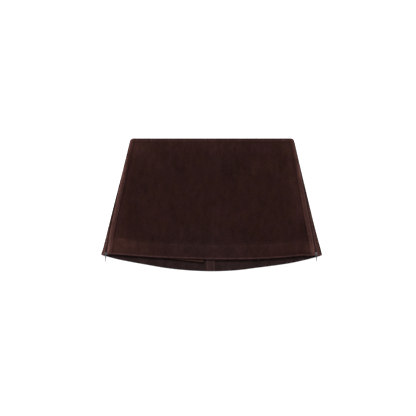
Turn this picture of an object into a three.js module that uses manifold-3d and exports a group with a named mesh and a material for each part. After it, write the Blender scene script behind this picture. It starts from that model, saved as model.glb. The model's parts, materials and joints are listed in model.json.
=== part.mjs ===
// A suede mini skirt, laid flat on a table with its front up and closed by a zip down each side.
// Millimetres. +X is to the right as the front is seen, +Y runs from the hem to the waist, and +Z is up off
// the table. The origin is on the table, under the middle of the skirt.
//
// Laid flat, the skirt is a flattened tube. A place on it is given by three distances:
//   around  along the cloth from the front centre, positive to the right, on past the side fold to the back
//   drop    down from the waist fold, measured at the side fold
//   inset   in from the middle of the cloth's thickness, towards the inside of the tube
import * as THREE from "three";
import { mergeVertices } from "three/addons/utils/BufferGeometryUtils.js";
import Module from "manifold-3d";

const wasm = await Module();
wasm.setup();

// Cloth
const SUEDE = 1.2;
const AIR = 0.3; // between two layers that lie on each other
const LAYER = SUEDE + AIR;
const TURN_RADIUS = LAYER / 2; // of the cloth's middle where an edge is turned in
const TURN_REACH = TURN_RADIUS + SUEDE / 2;

// The skirt as it lies
const WAIST_WIDTH = 381;
const HEM_WIDTH = 515;
const SIDE_LENGTH = 272;
const FRONT_DIP = 11; // the front hem's centre, below its ends
const BACK_DIP = 37.6;
const HEM_DEPTH = 34; // turned up inside and stitched
const WAIST_DEPTH = 11; // turned in at the waist
const CORNER_WIDTH = 3.5; // the rounding of the waist's two corners
const CORNER_HEIGHT = 5;
const CENTRE_BACK = -2.5; // where the back seam lies
const SEAM_ALLOWANCE = 11;
const SHOULDER = 70; // over which the front sinks from the side fold
const HEM_ZONE = 45; // over which every line runs parallel to the hem

const LENGTH = SIDE_LENGTH - 2 * TURN_REACH; // from the waist's turn to the hem's
const WAIST_Y = (LENGTH + BACK_DIP) / 2;

// Turned edges beside the zips
const EDGE_BAND = 12;
const BAND_RISE = 0.7;
const BAND_SLOPE = 1.5;
const HEM_RISE = 0.25;
const ALLOWANCE_START = 8.6; // the turned hem and waist stop here, clear of the zip tape

// Zips
const ZIP_SLOT = 4.2; // between the two edges
const SLIDER_SLOT = 6.8; // where the edges part round the slider
const SLIDER_SLOT_FROM = 20;
const SLIDER_SLOT_TO = 9;
const TAPE_WIDTH = 20;
const TAPE_THICKNESS = 1;
const TAPE_INSET = SUEDE / 2 + AIR + TAPE_THICKNESS / 2;
const TAPE_TOP = 3;
const TAPE_END = 3; // above the hem's turn
const CHAIN_WIDTH = 3.4;
const CHAIN_HEIGHT = 1.4;
const CHAIN_TOP = 5;
const CHAIN_END = 1.2;
const CHAIN_CROWN = 0.8; // its outer face, above the middle of the cloth

// Slider, in its own frame: across, up the zip from its nose, and off the cloth
const NOSE_BELOW_HEM = 2.2;
const SLIDER_LENGTH = 9;
const SLIDER_HALF = 3;
const NOSE_HALF = 0.6;
const NOSE_TAPER = 2.6;
const REAR_HALF = 1.2;
const REAR_TAPER = 2.6;
const PLATE = 0.9;
const TOP_PLATE = CHAIN_CROWN + AIR;
const LOW_PLATE = -(TAPE_INSET + TAPE_THICKNESS / 2 + AIR) - PLATE;
const NECK = { half: 0.8, from: 0.3, to: 2.8 };
const FLANGE = { inner: 2.4, from: 2.8, to: 6.3, depth: 1.1 };
const SUNK = 0.3; // into the plate, so that what stands on it joins it
const BRIDGE = { half: 0.6, from: 0.1, to: 5.4, bar: 0.8, opening: 2.25 };

// Pull tab, in its own frame: from its pivot to its tip
const PULL_THICKNESS = 0.8;
const PULL_LENGTH = 18.6;
const HEAD_HALF = 1.5;
const HEAD_LENGTH = 5.3;
const HEAD_TAPER = 1;
const SHAFT_HALF = 1.1;
const EYE = { half: 0.95, from: 0.42, to: 4.4 };
const PIVOT = { up: 1.65, off: TOP_PLATE + PLATE + 1.45 };
const TIP_CLEARANCE = 0.2; // above the table

// The lining's hem, where it hangs out beside the back seam
const LINING_THICKNESS = 1;
const LINING = { left: -140, right: -16, top: -108, leftEnd: -122, middle: -129.6, rightEnd: -135.6 };
const LINING_HEIGHT = SUEDE + LAYER + AIR;

const SUEDE_COLOUR = new THREE.MeshStandardMaterial({ color: "#2a1917", roughness: 0.95, metalness: 0 });
const INSIDE_COLOUR = new THREE.MeshStandardMaterial({ color: "#2d1f1e", roughness: 0.95, metalness: 0 });
const LINING_COLOUR = new THREE.MeshStandardMaterial({ color: "#452e1f", roughness: 0.5, metalness: 0 });
const TAPE_COLOUR = new THREE.MeshStandardMaterial({ color: "#1d1211", roughness: 0.9, metalness: 0 });
const TEETH_COLOUR = new THREE.MeshStandardMaterial({ color: "#1a1312", roughness: 0.5, metalness: 0 });
const METAL_COLOUR = new THREE.MeshStandardMaterial({ color: "#c4c4c6", roughness: 0.25, metalness: 1 });

// Height of the middle of the front's thickness at its centre: it lies on all that is under it.
const LIE = [
  { drop: 0, height: SUEDE / 2 + 3 * LAYER },
  { drop: 14, height: SUEDE / 2 + 3 * LAYER },
  { drop: 50, height: SUEDE / 2 + 2 * LAYER },
  { drop: LENGTH - 80, height: SUEDE / 2 + 2 * LAYER },
  { drop: LENGTH - 40, height: SUEDE / 2 + 3 * LAYER + AIR },
  { drop: LENGTH - 24, height: SUEDE / 2 + 4 * LAYER },
];

// Radius of the side fold, to the middle of the cloth: wider where the turned-up hem stiffens it.
const FOLD = [
  { drop: LENGTH - 34, radius: 2.55 },
  { drop: LENGTH - 8, radius: 3.3 },
];

// Where each zip lies: in front of the side fold, or behind it where negative.
const ZIP_LINE = [
  { drop: 0, left: -1.2, right: -1.2 },
  { drop: 63, left: 0.2, right: 0.2 },
  { drop: 132, left: 2.4, right: 2.4 },
  { drop: 179, left: 4.3, right: 4.5 },
  { drop: 226, left: 7, right: 8 },
  { drop: 261, left: 10.4, right: 12.8 },
  { drop: LENGTH + 4, left: 11.8, right: 14.2 },
];

// Soft ridges in the front: x is where each stands, from and to are its ends below the waist.
const RIDGES = [
  { x: 178, from: 14, to: 160, width: 13, rise: 0.8 },
  { x: -166, from: 10, to: 70, width: 12, rise: 0.6 },
  { x: -60, from: 60, to: 190, width: 30, rise: 0.5 },
  { x: 84, from: 40, to: 215, width: 26, rise: 0.5 },
];

function smooth(t) {
  const s = THREE.MathUtils.clamp(t, 0, 1);
  return s * s * (3 - 2 * s);
}

// A table's column at a given drop, eased from row to row and level past its ends.
function eased(table, drop, column) {
  const next = table.findIndex((row) => row.drop > drop);
  if (next === 0) return table[0][column];
  if (next < 0) return table.at(-1)[column];
  const [a, b] = [table[next - 1], table[next]];
  return THREE.MathUtils.lerp(a[column], b[column], smooth((drop - a.drop) / (b.drop - a.drop)));
}

// A table's column at a given drop, on one flowing curve through its rows.
function flowing(table, drop, column) {
  const at = THREE.MathUtils.clamp(drop, table[0].drop, table.at(-1).drop);
  const i = Math.min(table.findIndex((row) => row.drop >= at) || 1, table.length - 1);
  const [a, b] = [table[i - 1], table[i]];
  const slope = (p, q) => (q[column] - p[column]) / (q.drop - p.drop);
  const before = slope(table[Math.max(i - 2, 0)], b);
  const after = slope(a, table[Math.min(i + 1, table.length - 1)]);
  const span = b.drop - a.drop;
  const t = (at - a.drop) / span;
  const hermite = (2 * t ** 3 - 3 * t ** 2 + 1) * a[column] + (3 * t ** 2 - 2 * t ** 3) * b[column];
  return hermite + span * ((t ** 3 - 2 * t ** 2 + t) * before + (t ** 3 - t ** 2) * after);
}

function halfWidth(drop) {
  const level = THREE.MathUtils.clamp(drop, 0, LENGTH);
  const straight = THREE.MathUtils.lerp(WAIST_WIDTH, HEM_WIDTH, level / LENGTH) / 2;
  const intoCorner = THREE.MathUtils.clamp(1 - level / CORNER_HEIGHT, 0, 1);
  return straight - CORNER_WIDTH * (1 - Math.sqrt(1 - intoCorner ** 2));
}

function foldRadius(drop) {
  return eased(FOLD, drop, "radius");
}

// The flat part's half width: beyond it the cloth turns round the side fold.
function flatHalf(drop) {
  return halfWidth(drop) - SUEDE / 2 - foldRadius(drop);
}

function ridgeHeight(x, drop) {
  return RIDGES.reduce((sum, ridge) => {
    const alongIt = (drop - ridge.from) / (ridge.to - ridge.from);
    const ends = alongIt > 0 && alongIt < 1 ? Math.sin(Math.PI * alongIt) ** 2 : 0;
    return sum + ridge.rise * ends * Math.exp(-(((x - ridge.x) / ridge.width) ** 2));
  }, 0);
}

function frontHeight(x, drop) {
  const centre = eased(LIE, drop, "height");
  const shoulder = SUEDE / 2 + 2 * foldRadius(drop);
  const rise = smooth(1 - (flatHalf(drop) - Math.abs(x)) / SHOULDER);
  return THREE.MathUtils.lerp(centre, shoulder, rise) + (1 - rise) * ridgeHeight(x, drop);
}

function onTube(around, drop, inset) {
  const flat = flatHalf(drop);
  const radius = foldRadius(drop);
  const side = around < 0 ? -1 : 1;
  const past = Math.abs(around) - flat;
  let x = flat + past;
  let z = 0;
  let frontShare = 1;
  if (past <= 0) {
    z = frontHeight(side * x, drop) - inset;
  } else if (past < Math.PI * radius) {
    const angle = Math.PI / 2 - past / radius;
    x = flat + (radius - inset) * Math.cos(angle);
    z = SUEDE / 2 + radius + (radius - inset) * Math.sin(angle);
    frontShare = (1 + Math.sin(angle)) / 2;
  } else {
    x = flat - (past - Math.PI * radius);
    z = SUEDE / 2 + inset;
    frontShare = 0;
  }
  const bow = THREE.MathUtils.clamp(drop / (LENGTH - HEM_ZONE), 0, 1);
  const dip = THREE.MathUtils.lerp(BACK_DIP, FRONT_DIP, frontShare) * (1 - (x / halfWidth(drop)) ** 2) * bow;
  return new THREE.Vector3(side * x, WAIST_Y - drop - dip, z);
}

// The distance round the cloth to a zip's middle, and to a place on the back.
function zipAround(side, drop) {
  const ahead = flowing(ZIP_LINE, drop, side < 0 ? "left" : "right");
  return flatHalf(drop) + (Math.PI / 2) * foldRadius(drop) - ahead;
}

function backAround(side, x, drop) {
  return 2 * flatHalf(drop) + Math.PI * foldRadius(drop) - side * x;
}

function halfSlot(drop) {
  const up = LENGTH - drop;
  const parted = smooth((SLIDER_SLOT_FROM - up) / (SLIDER_SLOT_FROM - SLIDER_SLOT_TO));
  return THREE.MathUtils.lerp(ZIP_SLOT, SLIDER_SLOT, parted) / 2;
}

// A thin closed solid over a grid of rows and columns. pointAt(row, column, outer) gives its two faces, and
// present(row, column) says which cells of the grid are cloth. Each cell is split along its shorter diagonal.
function clothSolid(rowCount, columnCount, pointAt, present = () => true) {
  const positions = [];
  const outer = [];
  const inner = [];
  for (let r = 0; r < rowCount; r++) {
    for (let c = 0; c < columnCount; c++) {
      outer.push(positions.push(pointAt(r, c, true)) - 1);
      inner.push(positions.push(pointAt(r, c, false)) - 1);
    }
  }
  const triangles = [];
  const apart = (a, b) => positions[a].distanceTo(positions[b]);
  const quad = (a, b, c, d) => {
    if (apart(a, c) < apart(b, d)) triangles.push(a, b, c, a, c, d);
    else triangles.push(a, b, d, b, c, d);
  };
  const is = (r, c) => r >= 0 && c >= 0 && r < rowCount - 1 && c < columnCount - 1 && present(r, c);
  for (let r = 0; r < rowCount - 1; r++) {
    for (let c = 0; c < columnCount - 1; c++) {
      if (!is(r, c)) continue;
      const corners = [r * columnCount + c, (r + 1) * columnCount + c, (r + 1) * columnCount + c + 1];
      corners.push(r * columnCount + c + 1);
      const [a, b, e, f] = corners;
      quad(outer[a], outer[b], outer[e], outer[f]);
      quad(inner[f], inner[e], inner[b], inner[a]);
      if (!is(r, c - 1)) quad(outer[b], outer[a], inner[a], inner[b]);
      if (!is(r + 1, c)) quad(outer[e], outer[b], inner[b], inner[e]);
      if (!is(r, c + 1)) quad(outer[f], outer[e], inner[e], inner[f]);
      if (!is(r - 1, c)) quad(outer[a], outer[f], inner[f], inner[a]);
    }
  }
  return compact(positions, triangles);
}

// A geometry with only the points that its triangles use.
function compact(points, triangles) {
  const used = [...new Set(triangles)];
  const place = new Map(used.map((point, i) => [point, i]));
  const geometry = new THREE.BufferGeometry().setFromPoints(used.map((point) => points[point]));
  geometry.setIndex(triangles.map((point) => place.get(point)));
  return geometry;
}

// A panel's rows, from the end of its waist turn, over the waist, down the cloth, round the hem and up
// inside. turn is how far the cloth has turned in, and allowance marks the stretch that lies inside.
const WALL_DROPS = [0, 2, 5, 14, 32, 50, 90, 130, 165, LENGTH - 85, LENGTH - 70, LENGTH - 55];
const HEM_UPS = [40, 35, HEM_DEPTH, 25, 17, 9, 0];
const TURN_STEPS = [1 / 3, 2 / 3];

function turnRow(at, angle) {
  const inset = TURN_RADIUS * (1 - Math.cos(angle));
  return { drop: at + TURN_RADIUS * Math.sin(angle), inset, turn: angle };
}

const PANEL_ROWS = [
  { drop: WAIST_DEPTH, inset: LAYER, turn: -Math.PI, allowance: true },
  { drop: 0, inset: LAYER, turn: -Math.PI },
  ...TURN_STEPS.map((step) => turnRow(0, -Math.PI * (1 - step))),
  ...WALL_DROPS.map((drop) => ({ drop, inset: 0, turn: 0 })),
  ...HEM_UPS.map((up) => ({ drop: LENGTH - up, inset: 0, turn: 0 })),
  ...TURN_STEPS.map((step) => turnRow(LENGTH, Math.PI * step)),
  { drop: LENGTH, inset: LAYER, turn: Math.PI, allowance: true },
  { drop: LENGTH - HEM_DEPTH / 2, inset: LAYER, turn: Math.PI, allowance: true },
  { drop: LENGTH - HEM_DEPTH, inset: LAYER, turn: Math.PI },
];

// How far the cloth's outer face stands proud at a distance from the zip's edge: a doubled band beside the
// zip, and a doubled band along the front hem. What lies on the table stays flat.
function proud(fromEdge, row, around) {
  if (row.turn !== 0) return 0;
  const radius = foldRadius(row.drop);
  const past = Math.abs(around) - flatHalf(row.drop);
  const underneath = smooth((past / radius - Math.PI / 2) / (Math.PI / 2));
  const onBand = smooth((EDGE_BAND - fromEdge) / BAND_SLOPE) * (0.5 + 0.5 * smooth(fromEdge / BAND_SLOPE));
  const onHem = smooth((HEM_DEPTH + 1 - (LENGTH - row.drop)) / BAND_SLOPE) * (past < 0 ? 1 : 0);
  return (BAND_RISE * onBand + HEM_RISE * onHem * (1 - onBand)) * (1 - underneath);
}

// A panel's columns are given by their distance from the zip's edge, and the rest is spread evenly.
const EDGE_COLUMNS = [0, 1.2, 2.4, 3.7, 5, 6.8, ALLOWANCE_START, EDGE_BAND - BAND_SLOPE, EDGE_BAND];
const FOLD_COLUMNS = [...EDGE_COLUMNS.slice(0, 7), 9.8, ...EDGE_COLUMNS.slice(7), 13.3, 14.6, 16, 17.5, 19.5];
const FRONT_SPREAD = 17;
const BACK_SPREAD = 10;

function spread(from, to, count) {
  return Array.from({ length: count - 1 }, (_, i) => THREE.MathUtils.lerp(from, to, (i + 1) / count));
}

function frontColumns(drop) {
  const left = -(zipAround(-1, drop) - halfSlot(drop));
  const right = zipAround(1, drop) - halfSlot(drop);
  const leftBand = EDGE_COLUMNS.map((edge) => ({ around: left + edge, fromEdge: edge }));
  const rightBand = EDGE_COLUMNS.map((edge) => ({ around: right - edge, fromEdge: edge })).reverse();
  const middle = spread(left + EDGE_BAND, right - EDGE_BAND, FRONT_SPREAD);
  return [...leftBand, ...middle.map((around) => ({ around, fromEdge: Infinity })), ...rightBand];
}

function backColumns(side, drop) {
  const edge = zipAround(side, drop) + halfSlot(drop);
  const seam = backAround(side, CENTRE_BACK + (side * AIR) / 2, drop);
  const last = FOLD_COLUMNS.at(-1);
  const near = FOLD_COLUMNS.map((from) => ({ around: side * (edge + from), fromEdge: from }));
  const far = [...spread(edge + last, seam, BACK_SPREAD), seam];
  const columns = [...near, ...far.map((around) => ({ around: side * around, fromEdge: Infinity }))];
  return side > 0 ? columns : columns.reverse();
}

function panel(columnsAt) {
  const grid = PANEL_ROWS.map((row) => columnsAt(row.drop));
  const clear = ({ fromEdge }) => fromEdge >= ALLOWANCE_START;
  const pointAt = (r, c, outer) => {
    const row = PANEL_ROWS[r];
    const { around, fromEdge } = grid[r][c];
    const off = outer ? SUEDE / 2 + proud(fromEdge, row, around) : -SUEDE / 2;
    return onTube(around, row.drop + off * Math.sin(row.turn), row.inset - off * Math.cos(row.turn));
  };
  const present = (r, c) => !PANEL_ROWS[r].allowance || (clear(grid[r][c]) && clear(grid[r][c + 1]));
  return clothSolid(PANEL_ROWS.length, grid[0].length, pointAt, present);
}

// One allowance of the back seam, opened flat on the inside and carried down over the turned-up hem.
const SEAM_ROWS = [
  { drop: WAIST_DEPTH + 2, layers: 1 },
  ...[60, 110, 160, 205].map((drop) => ({ drop, layers: 1 })),
  { drop: LENGTH - HEM_DEPTH - 7, layers: 1 },
  { drop: LENGTH - HEM_DEPTH - 4, layers: 1.5 },
  { drop: LENGTH - HEM_DEPTH - 1, layers: 2 },
  ...[20, 9, -1].map((up) => ({ drop: LENGTH - up, layers: 2 })),
];

function seamAllowance(side) {
  const widths = [AIR / 2, SEAM_ALLOWANCE / 2, SEAM_ALLOWANCE];
  const across = side > 0 ? widths.reverse() : widths;
  const pointAt = (r, c, outer) => {
    const { drop, layers } = SEAM_ROWS[r];
    const around = side * backAround(side, CENTRE_BACK + side * across[c], drop);
    return onTube(around, drop, LAYER * layers + (outer ? -SUEDE / 2 : SUEDE / 2));
  };
  return clothSolid(SEAM_ROWS.length, across.length, pointAt);
}

// The zip's rows are the panels' own, so that the two run side by side.
const ZIP_DROPS = [...WALL_DROPS.slice(3), ...HEM_UPS.slice(0, -1).map((up) => LENGTH - up)];

function zipTape(side) {
  const drops = [TAPE_TOP, ...ZIP_DROPS, LENGTH - TAPE_END];
  const columns = 11;
  const pointAt = (r, c, outer) => {
    const across = (c / (columns - 1) - 0.5) * TAPE_WIDTH;
    const inset = TAPE_INSET + (outer ? -TAPE_THICKNESS / 2 : TAPE_THICKNESS / 2);
    return onTube(side * zipAround(side, drops[r]) + across, drops[r], inset);
  };
  return clothSolid(drops.length, columns, pointAt);
}

// The zip's direction and place at a drop: x across it, y up it, z off the cloth.
function zipFrame(side, drop) {
  const at = (level, inset) => onTube(side * zipAround(side, level), level, inset);
  const z = at(drop, 0).sub(at(drop, 1)).normalize();
  const y = at(drop - 1, 0).sub(at(drop + 1, 0)).normalize();
  const x = new THREE.Vector3().crossVectors(y, z).normalize();
  return new THREE.Matrix4().makeBasis(x, new THREE.Vector3().crossVectors(z, x), z).setPosition(at(drop, 0));
}

// The closed teeth as one low bar that follows the tape.
function zipChain(side) {
  const drops = [CHAIN_TOP, ...ZIP_DROPS, LENGTH - CHAIN_END];
  const columns = 5;
  const pointAt = (r, c, outer) => {
    const across = (c / (columns - 1) - 0.5) * CHAIN_WIDTH;
    const inset = outer ? -CHAIN_CROWN : CHAIN_HEIGHT - CHAIN_CROWN;
    return onTube(side * zipAround(side, drops[r]) + across, drops[r], inset);
  };
  return clothSolid(drops.length, columns, pointAt);
}

function solidOf(geometry) {
  const bare = geometry.clone();
  bare.deleteAttribute("normal");
  bare.deleteAttribute("uv");
  const merged = mergeVertices(bare, 1e-4);
  const vertProperties = new Float32Array(merged.attributes.position.array);
  const triVerts = new Uint32Array(merged.index.array);
  return new wasm.Manifold(new wasm.Mesh({ numProp: 3, vertProperties, triVerts }));
}

function joined(geometries) {
  const whole = geometries.map(solidOf).reduce((sum, solid) => sum.add(solid));
  const { vertProperties, triVerts } = whole.getMesh();
  const geometry = new THREE.BufferGeometry();
  geometry.setAttribute("position", new THREE.BufferAttribute(new Float32Array(vertProperties), 3));
  return geometry.setIndex([...triVerts]);
}

function box(x, y, z) {
  const middle = (range) => (range[0] + range[1]) / 2;
  const size = (range) => Math.abs(range[1] - range[0]);
  return new THREE.BoxGeometry(size(x), size(y), size(z)).translate(middle(x), middle(y), middle(z));
}

// A slider's plate: narrow at the nose, full over the teeth, and drawn in at the rear.
function sliderPlate(bottom) {
  const outline = new THREE.Shape()
    .moveTo(-NOSE_HALF, 0)
    .lineTo(NOSE_HALF, 0)
    .lineTo(SLIDER_HALF, NOSE_TAPER)
    .lineTo(SLIDER_HALF, SLIDER_LENGTH - REAR_TAPER)
    .quadraticCurveTo(SLIDER_HALF, SLIDER_LENGTH, REAR_HALF, SLIDER_LENGTH)
    .lineTo(-REAR_HALF, SLIDER_LENGTH)
    .quadraticCurveTo(-SLIDER_HALF, SLIDER_LENGTH, -SLIDER_HALF, SLIDER_LENGTH - REAR_TAPER)
    .lineTo(-SLIDER_HALF, NOSE_TAPER);
  const options = { depth: PLATE, bevelEnabled: false, curveSegments: 3 };
  return new THREE.ExtrudeGeometry(outline, options).translate(0, 0, bottom);
}

// The arch on the slider that the pull tab hangs from: its profile runs along the zip.
function sliderBridge() {
  const { half, from, to, bar, opening } = BRIDGE;
  const height = SUNK + opening + bar;
  const arch = new THREE.Shape()
    .moveTo(from, 0)
    .lineTo(to, 0)
    .lineTo(to, height - bar)
    .quadraticCurveTo(to, height, to - bar, height)
    .lineTo(from + bar, height)
    .quadraticCurveTo(from, height, from, height - bar);
  const hole = new THREE.Path()
    .moveTo(from + bar, SUNK)
    .lineTo(from + bar, SUNK + opening)
    .lineTo(to - bar, SUNK + opening)
    .lineTo(to - bar, SUNK);
  arch.holes.push(hole);
  const [across, along, off] = [0, 1, 2].map((axis) => new THREE.Vector3().setComponent(axis, 1));
  const upright = new THREE.Matrix4().makeBasis(along, off, across);
  return new THREE.ExtrudeGeometry(arch, { depth: 2 * half, bevelEnabled: false, curveSegments: 3 })
    .applyMatrix4(upright)
    .translate(-half, 0, TOP_PLATE + PLATE - SUNK);
}

function slider() {
  const along = [FLANGE.from, FLANGE.to];
  const deep = [TOP_PLATE - FLANGE.depth, TOP_PLATE + SUNK];
  const flanges = [-1, 1].map((side) => box([side * FLANGE.inner, side * SLIDER_HALF], along, deep));
  const neckHeight = [LOW_PLATE + PLATE - SUNK, TOP_PLATE + SUNK];
  const neck = box([-NECK.half, NECK.half], [NECK.from, NECK.to], neckHeight);
  return joined([sliderPlate(TOP_PLATE), sliderPlate(LOW_PLATE), neck, ...flanges, sliderBridge()]);
}

// A pull tab, flat, with its pivot at the origin and its tip towards the hem.
function pull() {
  const outline = new THREE.Shape()
    .moveTo(-HEAD_HALF, EYE.from)
    .lineTo(-HEAD_HALF, -HEAD_LENGTH)
    .lineTo(-SHAFT_HALF, -HEAD_LENGTH - HEAD_TAPER)
    .lineTo(-SHAFT_HALF, SHAFT_HALF - PULL_LENGTH)
    .absarc(0, SHAFT_HALF - PULL_LENGTH, SHAFT_HALF, Math.PI, 2 * Math.PI)
    .lineTo(SHAFT_HALF, -HEAD_LENGTH - HEAD_TAPER)
    .lineTo(HEAD_HALF, -HEAD_LENGTH)
    .lineTo(HEAD_HALF, EYE.from);
  const eye = new THREE.Path()
    .moveTo(-EYE.half, -EYE.from)
    .lineTo(-EYE.half, -EYE.to)
    .lineTo(EYE.half, -EYE.to)
    .lineTo(EYE.half, -EYE.from);
  outline.holes.push(eye);
  const options = { depth: PULL_THICKNESS, bevelEnabled: false, curveSegments: 5 };
  return new THREE.ExtrudeGeometry(outline, options).translate(0, 0, -PULL_THICKNESS / 2);
}

// The stretch of the lining's hem that hangs out, as a thin slip with a sloping lower edge.
function liningEdge() {
  const { left, right, top, leftEnd, middle, rightEnd } = LINING;
  const outline = new THREE.Shape()
    .moveTo(left, top)
    .lineTo(left, leftEnd)
    .quadraticCurveTo((left + right) / 2, 2 * middle - (leftEnd + rightEnd) / 2, right, rightEnd)
    .lineTo(right, top);
  const options = { depth: LINING_THICKNESS, bevelEnabled: false, curveSegments: 8 };
  return new THREE.ExtrudeGeometry(outline, options).translate(0, 0, LINING_HEIGHT);
}

function named(name, geometry, material) {
  const mesh = new THREE.Mesh(geometry, material);
  mesh.name = name;
  return mesh;
}

// A zip's slider and pull tab, placed on the zip: the tab hangs past the hem with its tip at the table.
function sliderGroup(side, label) {
  const group = new THREE.Group();
  const middle = LENGTH + TURN_REACH + NOSE_BELOW_HEM - SLIDER_LENGTH / 2;
  group.applyMatrix4(zipFrame(side, middle));
  const body = named(`zip_slider_${label}`, slider(), METAL_COLOUR);
  body.position.y = -SLIDER_LENGTH / 2;
  const tab = named(`zip_pull_${label}`, pull(), METAL_COLOUR);
  tab.position.set(0, PIVOT.up - SLIDER_LENGTH / 2, PIVOT.off);
  const fall = group.position.z + PIVOT.off - PULL_THICKNESS / 2 - TIP_CLEARANCE;
  tab.rotation.x = Math.asin(fall / PULL_LENGTH);
  return group.add(body, tab);
}

const skirt = new THREE.Group();
skirt.add(named("front_panel", panel(frontColumns), SUEDE_COLOUR));
for (const [side, label] of [[-1, "left"], [1, "right"]]) {
  skirt.add(
    named(`back_panel_${label}`, panel((drop) => backColumns(side, drop)), SUEDE_COLOUR),
    named(`back_seam_${label}`, seamAllowance(side), INSIDE_COLOUR),
    named(`zip_tape_${label}`, zipTape(side), TAPE_COLOUR),
    named(`zip_teeth_${label}`, zipChain(side), TEETH_COLOUR),
    sliderGroup(side, label),
  );
}
skirt.add(named("lining_edge", liningEdge(), LINING_COLOUR));

export default skirt;
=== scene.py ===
# A suede mini skirt laid flat with its front up, closed by a zip down each side.
import json
import math

import bmesh
import bpy
import numpy as np
from mathutils import Matrix, Vector
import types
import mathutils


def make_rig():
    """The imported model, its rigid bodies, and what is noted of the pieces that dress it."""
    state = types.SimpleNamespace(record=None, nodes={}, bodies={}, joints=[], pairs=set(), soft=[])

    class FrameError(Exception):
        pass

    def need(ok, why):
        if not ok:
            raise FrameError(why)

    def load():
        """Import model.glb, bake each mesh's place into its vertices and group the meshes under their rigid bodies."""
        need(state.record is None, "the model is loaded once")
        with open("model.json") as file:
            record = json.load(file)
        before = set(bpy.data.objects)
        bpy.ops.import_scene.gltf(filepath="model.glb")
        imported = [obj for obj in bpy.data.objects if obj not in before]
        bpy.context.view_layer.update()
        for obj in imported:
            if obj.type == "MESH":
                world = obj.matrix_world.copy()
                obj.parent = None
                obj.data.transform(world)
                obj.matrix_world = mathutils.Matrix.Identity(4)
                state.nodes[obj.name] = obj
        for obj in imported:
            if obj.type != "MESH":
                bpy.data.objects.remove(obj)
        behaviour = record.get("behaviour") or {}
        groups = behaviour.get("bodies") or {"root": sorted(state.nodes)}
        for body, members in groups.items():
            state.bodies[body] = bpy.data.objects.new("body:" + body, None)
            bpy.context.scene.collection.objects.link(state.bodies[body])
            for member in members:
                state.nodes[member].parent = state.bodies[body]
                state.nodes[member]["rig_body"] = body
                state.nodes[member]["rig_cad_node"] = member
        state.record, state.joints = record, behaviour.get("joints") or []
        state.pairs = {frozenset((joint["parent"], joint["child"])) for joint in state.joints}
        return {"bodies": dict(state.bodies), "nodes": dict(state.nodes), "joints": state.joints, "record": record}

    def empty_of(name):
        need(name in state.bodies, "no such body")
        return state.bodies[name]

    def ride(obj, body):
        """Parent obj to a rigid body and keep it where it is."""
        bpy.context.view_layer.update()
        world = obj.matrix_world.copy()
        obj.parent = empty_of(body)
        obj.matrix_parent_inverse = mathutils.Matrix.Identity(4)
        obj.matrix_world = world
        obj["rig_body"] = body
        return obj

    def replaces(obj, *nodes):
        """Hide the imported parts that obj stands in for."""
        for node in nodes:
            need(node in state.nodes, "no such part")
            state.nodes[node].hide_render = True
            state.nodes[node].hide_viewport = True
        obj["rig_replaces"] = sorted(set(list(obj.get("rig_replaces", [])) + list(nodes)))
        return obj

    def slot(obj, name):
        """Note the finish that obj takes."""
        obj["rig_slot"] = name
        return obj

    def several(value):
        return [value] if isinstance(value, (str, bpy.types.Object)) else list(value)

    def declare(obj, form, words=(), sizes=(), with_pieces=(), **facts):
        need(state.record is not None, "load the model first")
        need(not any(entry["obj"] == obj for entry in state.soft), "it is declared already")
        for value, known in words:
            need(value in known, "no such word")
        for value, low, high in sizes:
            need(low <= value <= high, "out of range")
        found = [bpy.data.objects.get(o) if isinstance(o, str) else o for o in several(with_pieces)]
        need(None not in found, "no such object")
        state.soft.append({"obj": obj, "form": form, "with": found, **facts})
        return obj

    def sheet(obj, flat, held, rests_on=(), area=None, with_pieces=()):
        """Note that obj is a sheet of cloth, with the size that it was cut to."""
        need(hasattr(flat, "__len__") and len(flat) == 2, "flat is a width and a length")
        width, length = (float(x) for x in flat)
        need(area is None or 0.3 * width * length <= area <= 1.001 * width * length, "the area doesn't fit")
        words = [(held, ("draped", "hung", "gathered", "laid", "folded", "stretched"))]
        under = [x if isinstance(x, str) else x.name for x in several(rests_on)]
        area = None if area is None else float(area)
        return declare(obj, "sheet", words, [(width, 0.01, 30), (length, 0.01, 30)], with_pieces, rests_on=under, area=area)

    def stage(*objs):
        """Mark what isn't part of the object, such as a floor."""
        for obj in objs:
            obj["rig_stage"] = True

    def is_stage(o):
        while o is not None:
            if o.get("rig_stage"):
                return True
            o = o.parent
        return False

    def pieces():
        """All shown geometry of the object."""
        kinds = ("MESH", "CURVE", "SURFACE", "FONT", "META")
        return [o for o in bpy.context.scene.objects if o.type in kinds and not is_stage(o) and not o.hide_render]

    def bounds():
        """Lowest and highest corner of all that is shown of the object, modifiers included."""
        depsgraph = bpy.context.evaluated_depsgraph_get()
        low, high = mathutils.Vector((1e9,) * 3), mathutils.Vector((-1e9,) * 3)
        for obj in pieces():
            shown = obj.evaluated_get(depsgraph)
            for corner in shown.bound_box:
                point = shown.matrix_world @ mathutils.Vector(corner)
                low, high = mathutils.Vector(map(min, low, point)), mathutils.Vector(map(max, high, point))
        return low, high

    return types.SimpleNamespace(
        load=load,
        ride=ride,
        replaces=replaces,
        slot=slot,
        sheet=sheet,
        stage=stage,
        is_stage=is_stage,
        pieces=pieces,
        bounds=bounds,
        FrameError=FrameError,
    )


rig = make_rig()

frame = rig.load()
cad_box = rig.bounds()


# Front panel
# One piece of dark brown split suede, cut to a flared shape. Its waist and its edges along the zips are
# turned in and stitched, and its hem is turned up inside and stitched. It lies flat on the back.
MM = 0.001  # sizes are in millimetres, and meshes are made in metres
suede_thickness = 1.2
air = 0.3
layer = suede_thickness + air
turn_radius = layer / 2
turn_reach = turn_radius + suede_thickness / 2
waist_width = 383.6
hem_width = 515
side_length = 274
length = side_length - 2 * turn_reach
waist_y = 154.05
waist_sway = 1.1  # how far the waist lies to the right of the hem
hem_depth = 34
waist_depth = 11
corner_width = 3.5
corner_height = 5

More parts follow.
